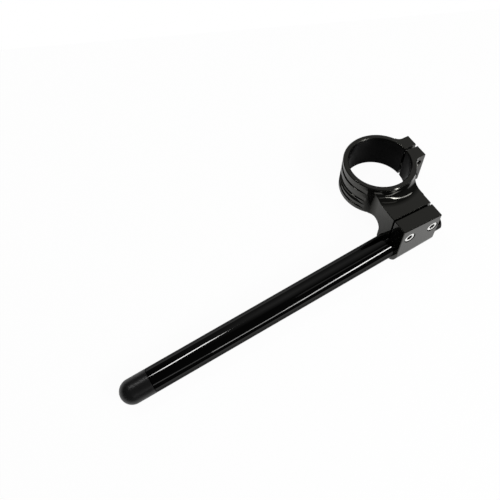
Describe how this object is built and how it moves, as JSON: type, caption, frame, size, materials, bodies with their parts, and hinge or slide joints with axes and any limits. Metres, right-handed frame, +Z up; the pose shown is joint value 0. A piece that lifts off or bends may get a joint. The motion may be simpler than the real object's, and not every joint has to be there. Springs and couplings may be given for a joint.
{
  "type": "clip-on handlebar",
  "caption": "Clip-on handlebar for a motorbike fork: a split fork ring with pinch lugs, a neck with a slit bar clamp, and a drooping tube with a round rubber end plug.",
  "frame": {"origin": "middle of the fork bore, on its axis and half way up the ring", "axes": "+Z up the fork bore, +X outboard along the bar as seen from above, +Y from the fork bore towards the bar; the bar droops 8 degrees below +X"},
  "size_m": [0.3213, 0.0986, 0.0942],
  "materials": {
    "bracket": "black anodised, satin",
    "bar": "black anodised, polished",
    "plug": "matte",
    "screws": "zinc plated, bright"
  },
  "bodies": {
    "root": {"bracket": "bracket", "bar_tube": "bar", "end_plug": "plug", "fork_screw_upper": "screws", "fork_screw_lower": "screws", "clamp_screw_inner": "screws", "clamp_screw_outer": "screws"}
  },
  "joints": []
}
